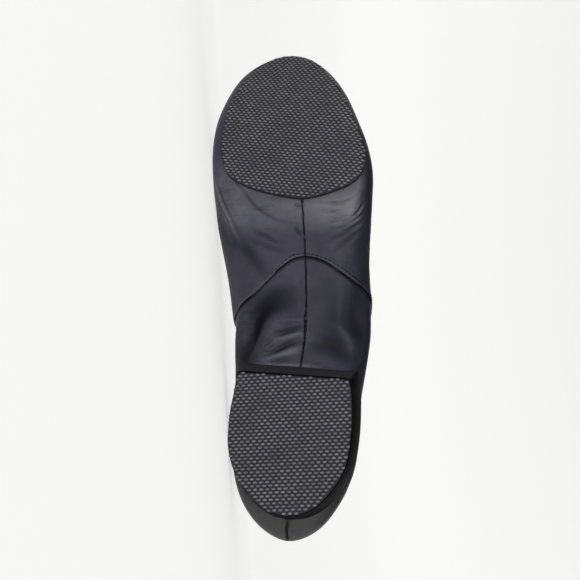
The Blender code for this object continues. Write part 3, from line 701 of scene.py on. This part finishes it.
def softenSteps(piece):
    # holds the vamp's raised edge and the collar's rim crisp under subdivision, and marks the edge's
    # foot and its top, where a painted shadow and a painted highlight go
    mesh = piece.data
    crease = mesh.attributes.new("crease_edge", "FLOAT", "EDGE")
    marks = {"foot": np.zeros(len(mesh.vertices)), "top": np.zeros(len(mesh.vertices))}
    lengths = np.array([(mesh.vertices[e.vertices[0]].co - mesh.vertices[e.vertices[1]].co).length
                        for e in mesh.edges])
    edgeOf = {tuple(sorted(e.vertices)): e.index for e in mesh.edges}
    for face in mesh.polygons:
        sides = [edgeOf[tuple(sorted(key))] for key in face.edge_keys]
        shortest = min(lengths[k] for k in sides)
        longest = max(lengths[k] for k in sides)
        isStep = shortest < upperLook["stepWidth"] * mm
        isWall = abs(shortest - upperLook["wall"] * mm) < upperLook["wallWithin"] * mm
        isRim = isWall and longest > upperLook["rimLong"] * mm
        longSides = [k for k in sides if lengths[k] > upperLook["longSide"] * shortest]
        if isStep or isRim:
            for k in longSides:
                crease.data[k].value = 1.0 if isStep else upperLook["rimCrease"]
        if isStep and face.center.x > upperLook["vampFrom"] * mm:
            long = [mesh.edges[k].vertices[:] for k in longSides]
            long.sort(key=lambda ends: sum(mesh.vertices[k].co.x for k in ends))
            for name, ends in (("foot", long[0]), ("top", long[-1])):
                marks[name][list(ends)] = 1.0
    for name, values in marks.items():
        keepValues(piece, name, values)


def seamRegions(piece, limits):
    # for the centre seam, then the back seam: the outside points near it, and how far across they are
    spots, ways = points(piece), normals(piece)
    outside = readValues(piece, "outer") > 0.5
    along = spots[:, 0]
    isUnder = (ways[:, 2] < -limits["down"]) & (along > limits["from"] * mm) & (along < limits["to"] * mm)
    isBack = (ways[:, 0] < -limits["back"]) & (along < limits["backTo"] * mm)
    fromCentre = np.abs(spots[:, 1] - readTable(centreSeam, along))
    fromBack = np.abs(spots[:, 1] - backSeamAcross * mm)
    return (outside & isUnder, fromCentre), (outside & isBack, fromBack)


def bevelSeam(piece, onSeam):
    # two faces side by side along a seam line, so that the edge between them can be sunk
    mesh = piece.data
    chosen = [e.index for e in mesh.edges if onSeam[e.vertices[0]] and onSeam[e.vertices[1]]]
    offset = groove["width"] * 0.5 * mm
    editOn(piece, "edges", chosen, bpy.ops.mesh.bevel, offset=offset, segments=2, affect="EDGES")


def roundOff(piece, levels):
    # subdivides a piece so that the smooth surface still passes through its own points
    smooth = piece.modifiers.new("smooth", "SUBSURF")
    smooth.levels = levels
    smooth.render_levels = levels
    wanted = points(piece)
    for _ in range(rounding["passes"]):
        seen = piece.evaluated_get(bpy.context.evaluated_depsgraph_get())
        reached = points(seen)[:len(wanted)]
        putPoints(piece, points(piece) + (wanted - reached) * rounding["share"])
        bpy.context.view_layer.update()
    applyAll(piece)


def makeUpper():
    piece = copyOfNode("upper", "leatherUpper")
    softenSteps(piece)
    roundOff(piece, upperLook["subdivisions"])

    # finer faces where the arch is creased
    mesh = piece.data
    inArch = []
    for face in mesh.polygons:
        spot = face.center / mm
        if upperLook["archFrom"] < spot.x < upperLook["archTo"] and spot.z < upperLook["archBelow"]:
            if face.normal.z < upperLook["archFacing"]:
                inArch.append(face.index)
    editOn(piece, "polygons", inArch, bpy.ops.mesh.subdivide, number_cuts=1)
    surface = surfaceOf(piece)
    creases = []
    for crease in folds:
        if crease["width"] < upperLook["fineBelow"]:
            path = alongPath(crease["path"], upperLook["fineStep"] * mm)
            creases.extend(surface.find_nearest(spot)[0] for spot in path)
    creases = np.array(creases)
    centres = np.array([face.center[:] for face in mesh.polygons])
    ways = np.array([face.normal[:] for face in mesh.polygons])
    near = (centres[:, 2] < upperLook["archBelow"] * mm) & (outward(centres, ways) > 0.0)
    for k in np.where(near)[0]:
        near[k] = np.linalg.norm(creases - centres[k], axis=1).min() < upperLook["fineReach"] * mm
    editOn(piece, "polygons", np.where(near)[0], bpy.ops.mesh.subdivide, number_cuts=1)

    surface = surfaceOf(piece)
    spots = points(piece)
    outside = outward(spots, normals(piece)) > 0.0
    keepValues(piece, "outer", outside)
    wearAndPaintedLight = {"hollow": np.zeros(len(spots)), "crest": np.zeros(len(spots))}
    # painted shade in the troughs, painted highlight on the ridges
    for crease in folds:
        pressFold(piece, crease, surface, outside, wearAndPaintedLight)
    for name, values in wearAndPaintedLight.items():
        keepValues(piece, name, values)

    # the centre seam, then the back seam
    for k in (0, 1):
        region, apart = seamRegions(piece, grooveRound)[k]
        bevelSeam(piece, region & (apart < groove["onLine"] * mm))
    return piece, surface


def shadeUpper(piece):
    # grooves, and the painted shade, painted highlight and painted sheen on each point of the leather, and
    # where the counter's own colour goes
    spots = points(piece)
    ways = normals(piece)
    outside = readValues(piece, "outer") > 0.5
    seam = np.zeros(len(spots))
    middle = np.zeros(len(spots), dtype=bool)
    # painted shade in the seam grooves
    for region, apart in seamRegions(piece, shadeRound):
        middle |= region & (apart < groove["middle"] * mm)
        seam = np.maximum(seam, np.where(region, 1.0 - smoothStep(apart / mm, *groove["fade"]), 0.0))
    spots[middle] -= ways[middle] * groove["depth"] * mm
    putPoints(piece, spots)
    # painted shadow on the vamp's raised edge and along its foot
    foot, top = readValues(piece, "foot"), readValues(piece, "top")
    onStep = outside & (foot + top > paintedLightAndCounter["onStep"])
    seam = np.maximum(seam, np.where(onStep, smoothStep(foot, *paintedLightAndCounter["stepDark"]), 0.0))
    seam = np.maximum(seam, np.where(outside, smoothStep(foot, *paintedLightAndCounter["footLine"]), 0.0))
    # painted highlight along the top of the vamp's raised edge
    paintedTopHighlight = np.where(onStep & (top > paintedLightAndCounter["topFrom"]), paintedLightAndCounter["topHighlight"], 0.0)
    keepValues(piece, "crest", np.maximum(readValues(piece, "crest"), paintedTopHighlight))

    # painted sheen on the leather over the ball, strongest where it faces down and on the outer side
    along, across = spots[:, 0] / mm, spots[:, 1] / mm
    band = smoothStep(along, *paintedLightAndCounter["bandBack"]) * (1.0 - smoothStep(along, *paintedLightAndCounter["bandFront"]))
    level = smoothStep(-ways[:, 2], *paintedLightAndCounter["bandFacing"])
    side = paintedLightAndCounter["innerShine"] + (1.0 - paintedLightAndCounter["innerShine"]) * smoothStep(across, *paintedLightAndCounter["bandAcross"])
    # the stretch attribute holds the painted sheen's mask
    keepValues(piece, "stretch", np.where(outside, band * level * side, 0.0))

    # painted shade on the outer side's lower rim
    facingOut, facingDown = paintedLightAndCounter["lowerRim"]
    rim = smoothStep(ways[:, 1], *facingOut) * smoothStep(-ways[:, 2], *facingDown)
    rim *= 1.0 - smoothStep(along, *paintedLightAndCounter["rimEnd"])
    dark = paintedLightAndCounter["rimDark"] * rim * outside
    keepValues(piece, "hollow", np.maximum(readValues(piece, "hollow"), dark))
    keepValues(piece, "seam", seam)
    keepValues(piece, "counter", 1.0 - smoothStep(along, *paintedLightAndCounter["counter"]))


def lineUpper(piece):
    # the inside of the wall takes the lining cloth
    mesh = piece.data
    dress(piece, leatherMaterial, liningMaterial)
    outer = readValues(piece, "outer")
    inside = np.array([max(outer[k] for k in face.vertices) < 0.5 for face in mesh.polygons])
    mesh.polygons.foreach_set("material_index", inside.astype(np.int32))
    smoothAll(piece)


print("upper")
upperPiece, plainSurface = makeUpper()
shadeUpper(upperPiece)
lineUpper(upperPiece)
upperSurface = surfaceOf(upperPiece)
print("upper faces", len(upperPiece.data.polygons))


# Treads

tread = {
    "length": 2.5,  # of one bump, across the shoe, in millimetres
    "width": 1.3,
    "height": 0.6,
    "across": 2.8,  # from bump to bump
    "along": 1.52,  # from one staggered row to the next
    "border": 0.15,
    "sunk": 0.05,
    "below": 50.0,  # the search for the sheet starts here
    "tipFrom": 0.2,  # share of the height where the painted highlight begins
    "palest": 1.0,  # share of the painted tip highlight that a bump can have, at its palest
    "darkest": 0.6,
    "soleTurn": 8.0,  # degrees
    "liftTurn": -5.0,
}


def oneBump():
    bump = smallBall("treadBump")
    bpy.ops.object.mode_set(mode="EDIT")
    bpy.ops.mesh.select_all(action="SELECT")
    bpy.ops.mesh.bisect(plane_co=(0, 0, 0), plane_no=(0, 0, 1), clear_outer=True)
    bpy.ops.mesh.select_all(action="SELECT")
    size = (tread["width"] * 0.5 * mm, tread["length"] * 0.5 * mm, tread["height"] * mm)
    bpy.ops.transform.resize(value=size, center_override=(0.0, 0.0, 0.0))
    bpy.ops.object.mode_set(mode="OBJECT")
    return bump


def bumpField(low, high, turn):
    # a staggered field of bumps between two corners in millimetres, turned by so many degrees, and how
    # many points a bump has
    rows = []
    reach = (high - low).xy.length * 0.5
    for shift in (0.0, 0.5):
        bump = oneBump()
        perBump = len(bump.data.vertices)
        start = Vector((-reach + shift * tread["along"] * 2.0, -reach + shift * tread["across"], 0.0))
        bump.data.transform(Matrix.Translation(start * mm))
        for axis, pitch in ((1, tread["across"]), (0, tread["along"] * 2.0)):
            array = bump.modifiers.new("repeat", "ARRAY")
            array.use_relative_offset = False
            array.use_constant_offset = True
            offset = [0.0, 0.0, 0.0]
            offset[axis] = pitch * mm
            array.constant_offset_displace = offset
            array.count = int(2.0 * reach / pitch) + 1
        applyAll(bump)
        rows.append(bump)
    field = joinUnder(rows, "bumpField")
    middle = (low + high) * 0.5 * mm
    turned = Matrix.Rotation(radians(turn), 4, "Z")
    field.data.transform(Matrix.Translation((middle.x, middle.y, 0.0)) @ turned)
    return field, perBump


def insideRing(spots, ring):
    # which plan points lie inside a closed ring
    inside = np.zeros(len(spots), dtype=bool)
    for k in range(len(ring)):
        (ax, ay), (bx, by) = ring[k - 1], ring[k]
        crosses = (ay > spots[:, 1]) != (by > spots[:, 1])
        with np.errstate(divide="ignore", invalid="ignore"):
            at = (bx - ax) * (spots[:, 1] - ay) / (by - ay) + ax
        inside ^= crosses & (spots[:, 0] < at)
    return inside


def outlineOf(piece, inset):
    # the piece's outline from below, as the hull of its points, drawn in by the inset
    flat = points(piece)[:, :2]
    order = sorted(map(tuple, flat))

    def chain(run):
        kept = []
        for spot in run:
            while len(kept) > 1:
                (ax, ay), (bx, by) = kept[-2], kept[-1]
                if (bx - ax) * (spot[1] - ay) - (by - ay) * (spot[0] - ax) > 0:
                    break
                kept.pop()
            kept.append(spot)
        return kept[:-1]

    hull = np.array(chain(order) + chain(order[::-1]))
    middle = hull.mean(axis=0)
    ways = hull - middle
    far = np.linalg.norm(ways, axis=1, keepdims=True)
    return middle + ways * (far - inset * mm) / far


def pulledIn(flat, ring):
    # moves the points outside a closed ring to its nearest side
    moved = flat.copy()
    outside = np.where(~insideRing(flat, ring))[0]
    starts = np.roll(ring, 1, axis=0)
    runs = ring - starts
    for k in outside:
        share = np.clip(((flat[k] - starts) * runs).sum(axis=1) / (runs * runs).sum(axis=1), 0.0, 1.0)
        feet = starts + runs * share[:, None]
        moved[k] = feet[np.linalg.norm(feet - flat[k], axis=1).argmin()]
    return moved


def makeTread(node, name, turn):
    sheet = copyOfNode(node, name)
    dress(sheet, groundMaterial, tipMaterial)
    surface = surfaceOf(sheet)
    spots = points(sheet) / mm
    field, perBump = bumpField(Vector(spots.min(axis=0)), Vector(spots.max(axis=0)), turn)
    dress(field, groundMaterial, tipMaterial)
    field.data.polygons.foreach_set("material_index", np.ones(len(field.data.polygons), dtype=np.int32))

    # whole bumps outside the outline are taken off
    spots = points(field)
    centres = spots.reshape(-1, perBump, 3).mean(axis=1)
    outline = outlineOf(sheet, tread["border"])
    kept = insideRing(centres[:, :2], outline)
    gone = np.where(~np.repeat(kept, perBump))[0]
    editOn(field, "vertices", gone, bpy.ops.mesh.delete, type="VERT")

    # the rest are cut off at the outline and follow the sheet's underside
    spots = points(field)
    height = -spots[:, 2].copy()
    spots[:, :2] = pulledIn(spots[:, :2], outline)
    for k, spot in enumerate(spots):
        start = Vector((spot[0], spot[1], -tread["below"] * mm))
        hit = surface.ray_cast(start, Vector((0.0, 0.0, 1.0)))
        if hit[0] is not None:
            spots[k] = hit[0] + hit[1] * (height[k] - tread["sunk"] * mm)
    putPoints(field, spots)
    count = len(height) // perBump
    pale = np.random.default_rng(5).uniform(tread["darkest"], tread["palest"], count)
    # painted highlight on the bump tops, rising with height and varied at random per bump
    tip = smoothStep(height / (tread["height"] * mm), tread["tipFrom"], 1.0)
    keepValues(field, "tip", tip * np.repeat(pale, perBump))
    smoothAll(field)
    piece = joinUnder([sheet, field], name)
    layDown(piece, node)
    return piece


print("treads")
solePiece = makeTread("forefoot_sole", "forefootTread", tread["soleTurn"])
liftPiece = makeTread("heel_lift", "heelTread", tread["liftTurn"])
print("tread faces", len(solePiece.data.polygons), len(liftPiece.data.polygons))


# Heel block and insole

block = {
    "edge": 0.5,  # millimetres
    "sharp": 40.0,  # degrees
    "breast": (0.3, 0.7),  # how far a point faces the toe, for the painted light on the front face
}
insole = {
    "subdivisions": 1,
    "sharp": 50.0,
}


def makeBlock():
    piece = copyOfNode("heel_block", "heelBlock")
    dress(piece, blockMaterial)
    soft = piece.modifiers.new("soft", "BEVEL")
    soft.width = block["edge"] * mm
    soft.segments = 3
    soft.limit_method = "ANGLE"
    soft.angle_limit = radians(block["sharp"])
    applyAll(piece)
    bpy.ops.object.shade_smooth_by_angle(angle=radians(block["sharp"]))
    # painted light on the faces toward the toe
    keepValues(piece, "breast", smoothStep(normals(piece)[:, 0], *block["breast"]))
    layDown(piece, "heel_block")


def makeInsole():
    piece = copyOfNode("insole", "liningSock")
    dress(piece, insoleMaterial)
    roundOff(piece, insole["subdivisions"])
    before = points(piece)
    everywhere = np.ones(len(before), dtype=bool)
    wearAndPaintedLight = {"hollow": np.zeros(len(before)), "crest": np.zeros(len(before))}
    for crease in folds:
        if crease["through"]:
            pressFold(piece, crease, plainSurface, everywhere, wearAndPaintedLight)
    # it is only lifted, never pushed down through the leather
    after = points(piece)
    sunk = after[:, 2] < before[:, 2]
    after[sunk] = before[sunk]
    putPoints(piece, after)
    bpy.ops.object.shade_smooth_by_angle(angle=radians(insole["sharp"]))
    layDown(piece, "insole")


print("block and insole")
makeBlock()
makeInsole()


# Stitches

stitch = {
    "length": 1.9,  # millimetres
    "thick": 0.5,
    "flat": 0.84,  # height over thickness
    "pitch": 2.4,
    "lift": 0.06,
    "fromEdge": 1.5,  # vamp topstitch to the vamp's edge
    "edgeLong": 2.4,  # the edge's faces are at least this long
    "edgeMiddle": (0.0, 2.0, 40.0),
    "fromCollar": 2.6,
    "collarAbove": 52.0,
    "collarBefore": 114.2,
    "collarMiddle": (62.0, 0.0, 60.0),
    "collarTurn": 6.0,  # degrees between two points of the collar
    "beadPitch": 1.75,
    "beadLength": 1.0,
    "beadThick": 0.75,
    "beadLift": 0.3,
    "beadFrom": 84.0,  # the centre seam's stitches show from the heel to the curved seam
    "beadTo": 134.0,
    "below": 20.0,  # the search for the leather starts here
}


def oneStitch(length, thick):
    made = smallBall("stitch")
    size = (length * 0.5 * mm, thick * 0.5 * mm, thick * 0.5 * stitch["flat"] * mm)
    made.data.transform(Matrix.Diagonal(size + (1.0,)))
    return made


def vampEdge():
    # points on the outside of the vamp's raised edge, round the shoe from collar to collar
    source = copyOfNode("upper", "edgeFinder")
    mesh = source.data
    found = []
    for face in mesh.polygons:
        corners = [mesh.vertices[k].co for k in face.vertices]
        sides = [(corners[k] - corners[k - 1]).length for k in range(len(corners))]
        if min(sides) < upperLook["stepWidth"] * mm and max(sides) > stitch["edgeLong"] * mm:
            centre = np.array(face.center[:])[None, :]
            isOuter = outward(centre, np.array(face.normal[:])[None, :])[0] > 0.0
            if isOuter and centre[0, 0] > upperLook["vampFrom"] * mm:
                front = max(corners, key=lambda spot: spot.x)
                found.append(front.copy())
    bpy.data.objects.remove(source)
    middle = Vector(stitch["edgeMiddle"]) * mm
    found.sort(key=lambda spot: atan2(spot.y - middle.y, middle.z - spot.z))
    return found


def evenly(path, pitch):
    # points a pitch apart along a chain
    kept, left = [path[0]], pitch
    for before, after in zip(path, path[1:]):
        run = (after - before).length
        while run >= left and run > 0.0:
            before = before.lerp(after, left / run)
            run -= left
            kept.append(before)
            left = pitch
        left -= run
    return kept


def sew(path, name, pitch, length, thick, lift):
    # one piece of stitches that follow a path on the leather
    stitches = []
    pattern = oneStitch(length, thick)
    spots = evenly(path, pitch * mm)
    for before, after in zip(spots, spots[1:]):
        middle = (before + after) * 0.5
        hit, way = upperSurface.find_nearest(middle)[:2]
        run = (after - before) - way * (after - before).dot(way)
        run.normalize()
        side = way.cross(run)
        place = Matrix((run, side, way)).transposed().to_4x4()
        place.translation = hit + way * lift * mm
        one = addThing("stitch", pattern.data.copy())
        one.data.transform(place)
        stitches.append(one)
    bpy.data.objects.remove(pattern)
    piece = joinUnder(stitches, name)
    dress(piece, threadMaterial)
    smoothAll(piece)
    layDown(piece, None)


def topstitch(path, name):
    sew(path, name, stitch["pitch"], stitch["length"], stitch["thick"], stitch["lift"])


def shifted(path, toward, distance):
    # the path moved along the surface, square to itself, by so many millimetres
    found = []
    for k, spot in enumerate(path):
        before, after = path[max(k - 1, 0)], path[min(k + 1, len(path) - 1)]
        way = upperSurface.find_nearest(spot)[1]
        side = (after - before).cross(way).normalized()
        if side.dot(toward) < 0.0:
            side = -side
        found.append(upperSurface.find_nearest(spot + side * distance * mm)[0])
    return found


def centrePath():
    # the centre seam from the heel to the curved seam, on the upper's underside
    found = []
    for along in np.arange(stitch["beadFrom"], stitch["beadTo"], 1.0):
        across = float(readTable(centreSeam, along * mm))
        start = Vector((along * mm, across, -stitch["below"] * mm))
        found.append(upperSurface.ray_cast(start, Vector((0.0, 0.0, 1.0)))[0])
    return found


def collarEdge():
    # the top line's outer rim, ordered round the foot opening
    mesh = frame["nodes"]["upper"].data
    rim = []
    for v in mesh.vertices:
        spot = rowToShoe @ v.co
        if spot.z > stitch["collarAbove"] * mm and spot.x < stitch["collarBefore"] * mm:
            rim.append(spot)
    middle = Vector(stitch["collarMiddle"]) * mm
    byAngle = {}
    for spot in rim:
        angle = round(degrees(atan2(spot.y - middle.y, spot.x - middle.x)) / stitch["collarTurn"])
        if angle not in byAngle or spot.z > byAngle[angle].z:
            byAngle[angle] = spot
    chain = [byAngle[key] for key in sorted(byAngle)]
    return chain + chain[:1]


print("stitches")
toToe = Vector((1.0, 0.0, 0.0))
down = Vector((0.0, 0.0, -1.0))
topstitch(shifted(vampEdge(), toToe, stitch["fromEdge"]), "vampStitches")
beads = (stitch["beadPitch"], stitch["beadLength"], stitch["beadThick"], stitch["beadLift"])
sew(centrePath(), "centreStitches", *beads)
topstitch(shifted(collarEdge(), down, stitch["fromCollar"]), "collarStitches")
layDown(upperPiece, "upper")


# Floor, light and camera

stage = {
    "floorSize": 1.15,  # metres
    "curve": 0.45,
    "steps": 10,
    "wall": 0.85,
    "shade": (0.48, 0.48, 0.475, 1.0),
    "light": (1.0, 1.0, 0.99, 1.0),
    "glow": 0.60,
    "sky": (0.97, 0.985, 1.0, 1.0),
    "skyStrength": 0.12,
}
softLamp = {
    "place": (0.14, -0.85, 0.10),
    "aim": (-0.02, 0.0, 0.04),
    "size": 0.40,
    "power": 5.0,
}


def makeStage():
    # a round floor that curves up into a wall
    bpy.ops.object.select_all(action="DESELECT")
    bpy.ops.mesh.primitive_circle_add(vertices=96, radius=stage["floorSize"], fill_type="NGON")
    floor = newest("studioFloor")
    bpy.ops.object.mode_set(mode="EDIT")
    bpy.ops.mesh.select_all(action="SELECT")
    bpy.ops.mesh.select_mode(type="EDGE")
    bpy.ops.mesh.region_to_loop()
    for k in range(stage["steps"]):
        turn = (k + 1) / stage["steps"] * pi * 0.5
        before = k / stage["steps"] * pi * 0.5
        rise = stage["curve"] * (cos(before) - cos(turn))
        edge = stage["floorSize"] + stage["curve"] * sin(before)
        grown = 1.0 + stage["curve"] * (sin(turn) - sin(before)) / edge
        bpy.ops.mesh.extrude_edges_move(TRANSFORM_OT_translate={"value": (0.0, 0.0, rise)})
        bpy.ops.transform.resize(value=(grown, grown, 1.0), center_override=(0.0, 0.0, 0.0))
    bpy.ops.mesh.extrude_edges_move(TRANSFORM_OT_translate={"value": (0.0, 0.0, stage["wall"])})
    bpy.ops.object.mode_set(mode="OBJECT")
    bpy.ops.object.shade_smooth()
    glow = {"Emission Color": stage["light"], "Emission Strength": stage["glow"]}
    finish = Finish("studioPaper", {"Base Color": stage["shade"], "Roughness": 0.9, **glow})
    dress(floor, finish.material)


def makeLight():
    world = bpy.data.worlds.new("studio")
    world.use_nodes = True
    bpy.context.scene.world = world
    background = world.node_tree.nodes["Background"]
    background.inputs["Color"].default_value = stage["sky"]
    background.inputs["Strength"].default_value = stage["skyStrength"]
    bpy.context.scene.view_settings.view_transform = "Standard"
    light = bpy.data.lights.new("frontSoft", "AREA")
    light.shape = "DISK"
    light.size = softLamp["size"]
    light.energy = softLamp["power"]
    lamp = addThing("frontSoft", light)
    lamp.location = softLamp["place"]
    lamp.rotation_mode = "QUATERNION"
    way = Vector(softLamp["aim"]) - Vector(softLamp["place"])
    lamp.rotation_quaternion = way.to_track_quat("-Z", "Y")


# The photograph's camera in the standing shoe, millimetres; it is turned a little to centre the one shoe
view = {
    "place": (41.7, 43.0, -284.3),
    "tilt": 15.0,
    "focal": 610.0,  # pixels, for a frame 580 wide
    "frame": 580.0,
    "aside": -8.8,
    "sensor": 36.0,
}


def makeCamera():
    tilt = radians(view["tilt"])
    forward = Vector((sin(tilt), 0.0, cos(tilt)))
    imageUp = Vector((cos(tilt), 0.0, -sin(tilt)))
    forward = Matrix.Rotation(radians(-view["aside"]), 3, imageUp) @ forward
    right = forward.cross(imageUp)
    data = bpy.data.cameras.new("photoCamera")
    data.sensor_width = view["sensor"]
    data.lens = view["focal"] / view["frame"] * data.sensor_width
    data.clip_start = 0.001
    camera = addThing("photoCamera", data)
    turn = Matrix((right, imageUp, -forward)).transposed().to_4x4()
    camera.matrix_world = shoeToRow @ Matrix.Translation(Vector(view["place"]) * mm) @ turn
    bpy.context.scene.camera = camera
    print("camera at", [round(value, 3) for value in camera.matrix_world.translation])


print("stage")
makeStage()
makeLight()
makeCamera()
